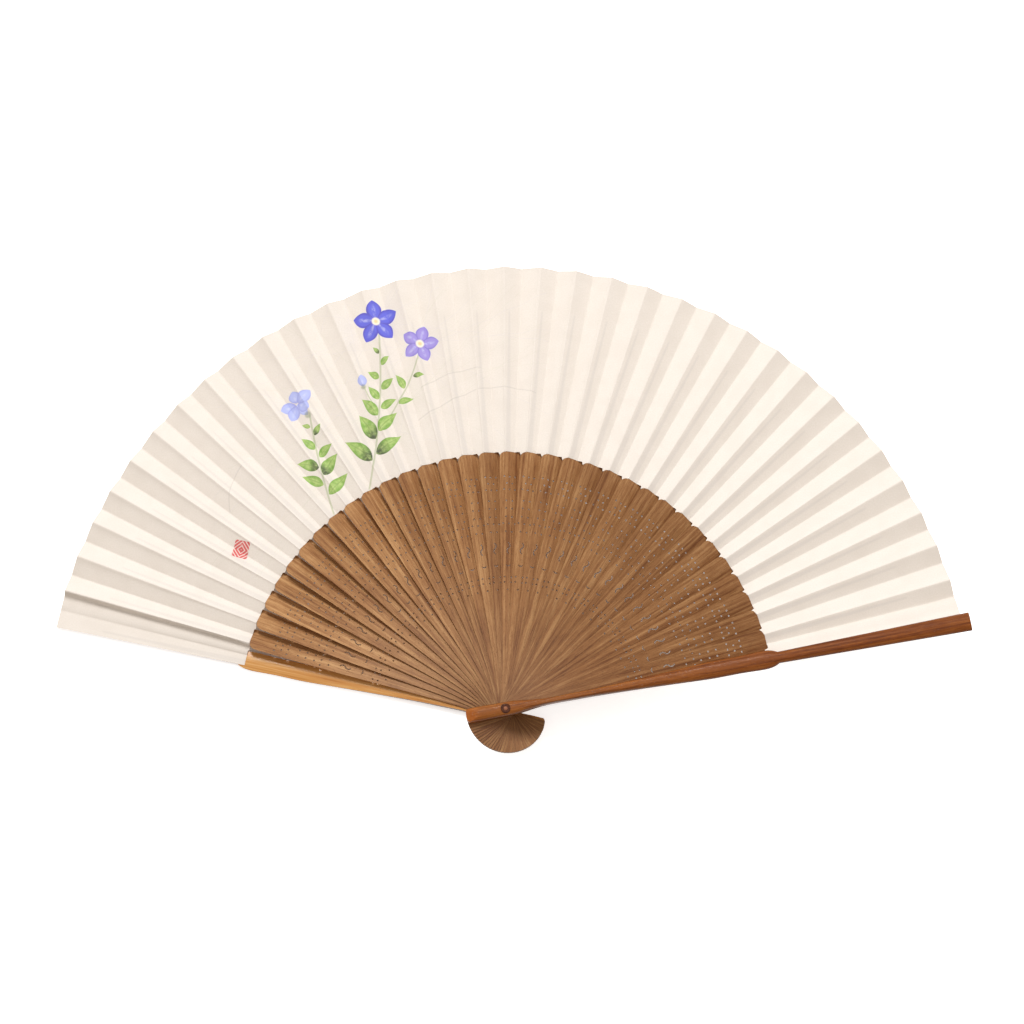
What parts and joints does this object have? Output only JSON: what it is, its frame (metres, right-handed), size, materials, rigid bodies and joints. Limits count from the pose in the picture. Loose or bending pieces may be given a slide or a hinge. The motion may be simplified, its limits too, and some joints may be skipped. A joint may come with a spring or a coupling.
{
  "type": "hand fan",
  "caption": "Folding hand fan, open: pierced bamboo ribs and guards turning on a rivet, with a pleated paper leaf painted with flowers.",
  "frame": {"origin": "on the rivet's axis, at the plane of the back guard's flat outer face, which is the surface the fan lies on", "axes": "+Z along the rivet toward the front guard, +Y toward the middle of the open leaf, +X toward the front guard's side"},
  "size_m": [0.3777, 0.2068, 0.025],
  "materials": {
    "rib_bamboo": "satin",
    "guard_bamboo": "gloss",
    "leaf_paper": "matte",
    "rivet_metal": "satin",
    "washer": "satin"
  },
  "bodies": {
    "frame": {"back_guard": "guard_bamboo", "leaf": "leaf_paper", "rivet_pin": "rivet_metal", "rivet_cap_front": "washer", "rivet_cap_back": "washer"},
    "rib_01_stick": {"rib_01": "rib_bamboo"},
    "rib_02_stick": {"rib_02": "rib_bamboo"},
    "rib_03_stick": {"rib_03": "rib_bamboo"},
    "rib_04_stick": {"rib_04": "rib_bamboo"},
    "rib_05_stick": {"rib_05": "rib_bamboo"},
    "rib_06_stick": {"rib_06": "rib_bamboo"},
    "rib_07_stick": {"rib_07": "rib_bamboo"},
    "rib_08_stick": {"rib_08": "rib_bamboo"},
    "rib_09_stick": {"rib_09": "rib_bamboo"},
    "rib_10_stick": {"rib_10": "rib_bamboo"},
    "rib_11_stick": {"rib_11": "rib_bamboo"},
    "rib_12_stick": {"rib_12": "rib_bamboo"},
    "rib_13_stick": {"rib_13": "rib_bamboo"},
    "rib_14_stick": {"rib_14": "rib_bamboo"},
    "rib_15_stick": {"rib_15": "rib_bamboo"},
    "rib_16_stick": {"rib_16": "rib_bamboo"},
    "rib_17_stick": {"rib_17": "rib_bamboo"},
    "rib_18_stick": {"rib_18": "rib_bamboo"},
    "rib_19_stick": {"rib_19": "rib_bamboo"},
    "rib_20_stick": {"rib_20": "rib_bamboo"},
    "rib_21_stick": {"rib_21": "rib_bamboo"},
    "rib_22_stick": {"rib_22": "rib_bamboo"},
    "rib_23_stick": {"rib_23": "rib_bamboo"},
    "rib_24_stick": {"rib_24": "rib_bamboo"},
    "rib_25_stick": {"rib_25": "rib_bamboo"},
    "rib_26_stick": {"rib_26": "rib_bamboo"},
    "rib_27_stick": {"rib_27": "rib_bamboo"},
    "rib_28_stick": {"rib_28": "rib_bamboo"},
    "rib_29_stick": {"rib_29": "rib_bamboo"},
    "rib_30_stick": {"rib_30": "rib_bamboo"},
    "rib_31_stick": {"rib_31": "rib_bamboo"},
    "rib_32_stick": {"rib_32": "rib_bamboo"},
    "rib_33_stick": {"rib_33": "rib_bamboo"},
    "front_stick": {"front_guard": "guard_bamboo"}
  },
  "joints": [
    {"name": "fan_fold", "type": "hinge", "parent": "frame", "child": "front_stick", "pos_m": [0, 0, 0], "axis": [0, 0, 1], "range_deg": [0, 156.5], "deforming": ["leaf"]},
    {"name": "rib_01_turn", "type": "hinge", "parent": "frame", "child": "rib_01_stick", "pos_m": [0, 0, 0], "axis": [0, 0, 1], "range_deg": [0, 4.65]},
    {"name": "rib_02_turn", "type": "hinge", "parent": "frame", "child": "rib_02_stick", "pos_m": [0, 0, 0], "axis": [0, 0, 1], "range_deg": [0, 9.26]},
    {"name": "rib_03_turn", "type": "hinge", "parent": "frame", "child": "rib_03_stick", "pos_m": [0, 0, 0], "axis": [0, 0, 1], "range_deg": [0, 13.86]},
    {"name": "rib_04_turn", "type": "hinge", "parent": "frame", "child": "rib_04_stick", "pos_m": [0, 0, 0], "axis": [0, 0, 1], "range_deg": [0, 18.46]},
    {"name": "rib_05_turn", "type": "hinge", "parent": "frame", "child": "rib_05_stick", "pos_m": [0, 0, 0], "axis": [0, 0, 1], "range_deg": [0, 23.06]},
    {"name": "rib_06_turn", "type": "hinge", "parent": "frame", "child": "rib_06_stick", "pos_m": [0, 0, 0], "axis": [0, 0, 1], "range_deg": [0, 27.67]},
    {"name": "rib_07_turn", "type": "hinge", "parent": "frame", "child": "rib_07_stick", "pos_m": [0, 0, 0], "axis": [0, 0, 1], "range_deg": [0, 32.27]},
    {"name": "rib_08_turn", "type": "hinge", "parent": "frame", "child": "rib_08_stick", "pos_m": [0, 0, 0], "axis": [0, 0, 1], "range_deg": [0, 36.87]},
    {"name": "rib_09_turn", "type": "hinge", "parent": "frame", "child": "rib_09_stick", "pos_m": [0, 0, 0], "axis": [0, 0, 1], "range_deg": [0, 41.48]},
    {"name": "rib_10_turn", "type": "hinge", "parent": "frame", "child": "rib_10_stick", "pos_m": [0, 0, 0], "axis": [0, 0, 1], "range_deg": [0, 46.08]},
    {"name": "rib_11_turn", "type": "hinge", "parent": "frame", "child": "rib_11_stick", "pos_m": [0, 0, 0], "axis": [0, 0, 1], "range_deg": [0, 50.68]},
    {"name": "rib_12_turn", "type": "hinge", "parent": "frame", "child": "rib_12_stick", "pos_m": [0, 0, 0], "axis": [0, 0, 1], "range_deg": [0, 55.29]},
    {"name": "rib_13_turn", "type": "hinge", "parent": "frame", "child": "rib_13_stick", "pos_m": [0, 0, 0], "axis": [0, 0, 1], "range_deg": [0, 59.89]},
    {"name": "rib_14_turn", "type": "hinge", "parent": "frame", "child": "rib_14_stick", "pos_m": [0, 0, 0], "axis": [0, 0, 1], "range_deg": [0, 64.49]},
    {"name": "rib_15_turn", "type": "hinge", "parent": "frame", "child": "rib_15_stick", "pos_m": [0, 0, 0], "axis": [0, 0, 1], "range_deg": [0, 69.09]},
    {"name": "rib_16_turn", "type": "hinge", "parent": "frame", "child": "rib_16_stick", "pos_m": [0, 0, 0], "axis": [0, 0, 1], "range_deg": [0, 73.7]},
    {"name": "rib_17_turn", "type": "hinge", "parent": "frame", "child": "rib_17_stick", "pos_m": [0, 0, 0], "axis": [0, 0, 1], "range_deg": [0, 78.3]},
    {"name": "rib_18_turn", "type": "hinge", "parent": "frame", "child": "rib_18_stick", "pos_m": [0, 0, 0], "axis": [0, 0, 1], "range_deg": [0, 82.9]},
    {"name": "rib_19_turn", "type": "hinge", "parent": "frame", "child": "rib_19_stick", "pos_m": [0, 0, 0], "axis": [0, 0, 1], "range_deg": [0, 87.51]},
    {"name": "rib_20_turn", "type": "hinge", "parent": "frame", "child": "rib_20_stick", "pos_m": [0, 0, 0], "axis": [0, 0, 1], "range_deg": [0, 92.11]},
    {"name": "rib_21_turn", "type": "hinge", "parent": "frame", "child": "rib_21_stick", "pos_m": [0, 0, 0], "axis": [0, 0, 1], "range_deg": [0, 96.71]},
    {"name": "rib_22_turn", "type": "hinge", "parent": "frame", "child": "rib_22_stick", "pos_m": [0, 0, 0], "axis": [0, 0, 1], "range_deg": [0, 101.31]},
    {"name": "rib_23_turn", "type": "hinge", "parent": "frame", "child": "rib_23_stick", "pos_m": [0, 0, 0], "axis": [0, 0, 1], "range_deg": [0, 105.92]},
    {"name": "rib_24_turn", "type": "hinge", "parent": "frame", "child": "rib_24_stick", "pos_m": [0, 0, 0], "axis": [0, 0, 1], "range_deg": [0, 110.52]},
    {"name": "rib_25_turn", "type": "hinge", "parent": "frame", "child": "rib_25_stick", "pos_m": [0, 0, 0], "axis": [0, 0, 1], "range_deg": [0, 115.12]},
    {"name": "rib_26_turn", "type": "hinge", "parent": "frame", "child": "rib_26_stick", "pos_m": [0, 0, 0], "axis": [0, 0, 1], "range_deg": [0, 119.73]},
    {"name": "rib_27_turn", "type": "hinge", "parent": "frame", "child": "rib_27_stick", "pos_m": [0, 0, 0], "axis": [0, 0, 1], "range_deg": [0, 124.33]},
    {"name": "rib_28_turn", "type": "hinge", "parent": "frame", "child": "rib_28_stick", "pos_m": [0, 0, 0], "axis": [0, 0, 1], "range_deg": [0, 128.93]},
    {"name": "rib_29_turn", "type": "hinge", "parent": "frame", "child": "rib_29_stick", "pos_m": [0, 0, 0], "axis": [0, 0, 1], "range_deg": [0, 133.54]},
    {"name": "rib_30_turn", "type": "hinge", "parent": "frame", "child": "rib_30_stick", "pos_m": [0, 0, 0], "axis": [0, 0, 1], "range_deg": [0, 138.14]},
    {"name": "rib_31_turn", "type": "hinge", "parent": "frame", "child": "rib_31_stick", "pos_m": [0, 0, 0], "axis": [0, 0, 1], "range_deg": [0, 142.74]},
    {"name": "rib_32_turn", "type": "hinge", "parent": "frame", "child": "rib_32_stick", "pos_m": [0, 0, 0], "axis": [0, 0, 1], "range_deg": [0, 147.34]},
    {"name": "rib_33_turn", "type": "hinge", "parent": "frame", "child": "rib_33_stick", "pos_m": [0, 0, 0], "axis": [0, 0, 1], "range_deg": [0, 151.95]}
  ],
  "couplings": [
    {"joint": "rib_01_turn", "follows": "fan_fold", "ratio": 0.029412},
    {"joint": "rib_02_turn", "follows": "fan_fold", "ratio": 0.058824},
    {"joint": "rib_03_turn", "follows": "fan_fold", "ratio": 0.088235},
    {"joint": "rib_04_turn", "follows": "fan_fold", "ratio": 0.11765},
    {"joint": "rib_05_turn", "follows": "fan_fold", "ratio": 0.14706},
    {"joint": "rib_06_turn", "follows": "fan_fold", "ratio": 0.17647},
    {"joint": "rib_07_turn", "follows": "fan_fold", "ratio": 0.20588},
    {"joint": "rib_08_turn", "follows": "fan_fold", "ratio": 0.23529},
    {"joint": "rib_09_turn", "follows": "fan_fold", "ratio": 0.26471},
    {"joint": "rib_10_turn", "follows": "fan_fold", "ratio": 0.29412},
    {"joint": "rib_11_turn", "follows": "fan_fold", "ratio": 0.32353},
    {"joint": "rib_12_turn", "follows": "fan_fold", "ratio": 0.35294},
    {"joint": "rib_13_turn", "follows": "fan_fold", "ratio": 0.38235},
    {"joint": "rib_14_turn", "follows": "fan_fold", "ratio": 0.41176},
    {"joint": "rib_15_turn", "follows": "fan_fold", "ratio": 0.44118},
    {"joint": "rib_16_turn", "follows": "fan_fold", "ratio": 0.47059},
    {"joint": "rib_17_turn", "follows": "fan_fold", "ratio": 0.5},
    {"joint": "rib_18_turn", "follows": "fan_fold", "ratio": 0.52941},
    {"joint": "rib_19_turn", "follows": "fan_fold", "ratio": 0.55882},
    {"joint": "rib_20_turn", "follows": "fan_fold", "ratio": 0.58824},
    {"joint": "rib_21_turn", "follows": "fan_fold", "ratio": 0.61765},
    {"joint": "rib_22_turn", "follows": "fan_fold", "ratio": 0.64706},
    {"joint": "rib_23_turn", "follows": "fan_fold", "ratio": 0.67647},
    {"joint": "rib_24_turn", "follows": "fan_fold", "ratio": 0.70588},
    {"joint": "rib_25_turn", "follows": "fan_fold", "ratio": 0.73529},
    {"joint": "rib_26_turn", "follows": "fan_fold", "ratio": 0.76471},
    {"joint": "rib_27_turn", "follows": "fan_fold", "ratio": 0.79412},
    {"joint": "rib_28_turn", "follows": "fan_fold", "ratio": 0.82353},
    {"joint": "rib_29_turn", "follows": "fan_fold", "ratio": 0.85294},
    {"joint": "rib_30_turn", "follows": "fan_fold", "ratio": 0.88235},
    {"joint": "rib_31_turn", "follows": "fan_fold", "ratio": 0.91176},
    {"joint": "rib_32_turn", "follows": "fan_fold", "ratio": 0.94118},
    {"joint": "rib_33_turn", "follows": "fan_fold", "ratio": 0.97059}
  ]
}
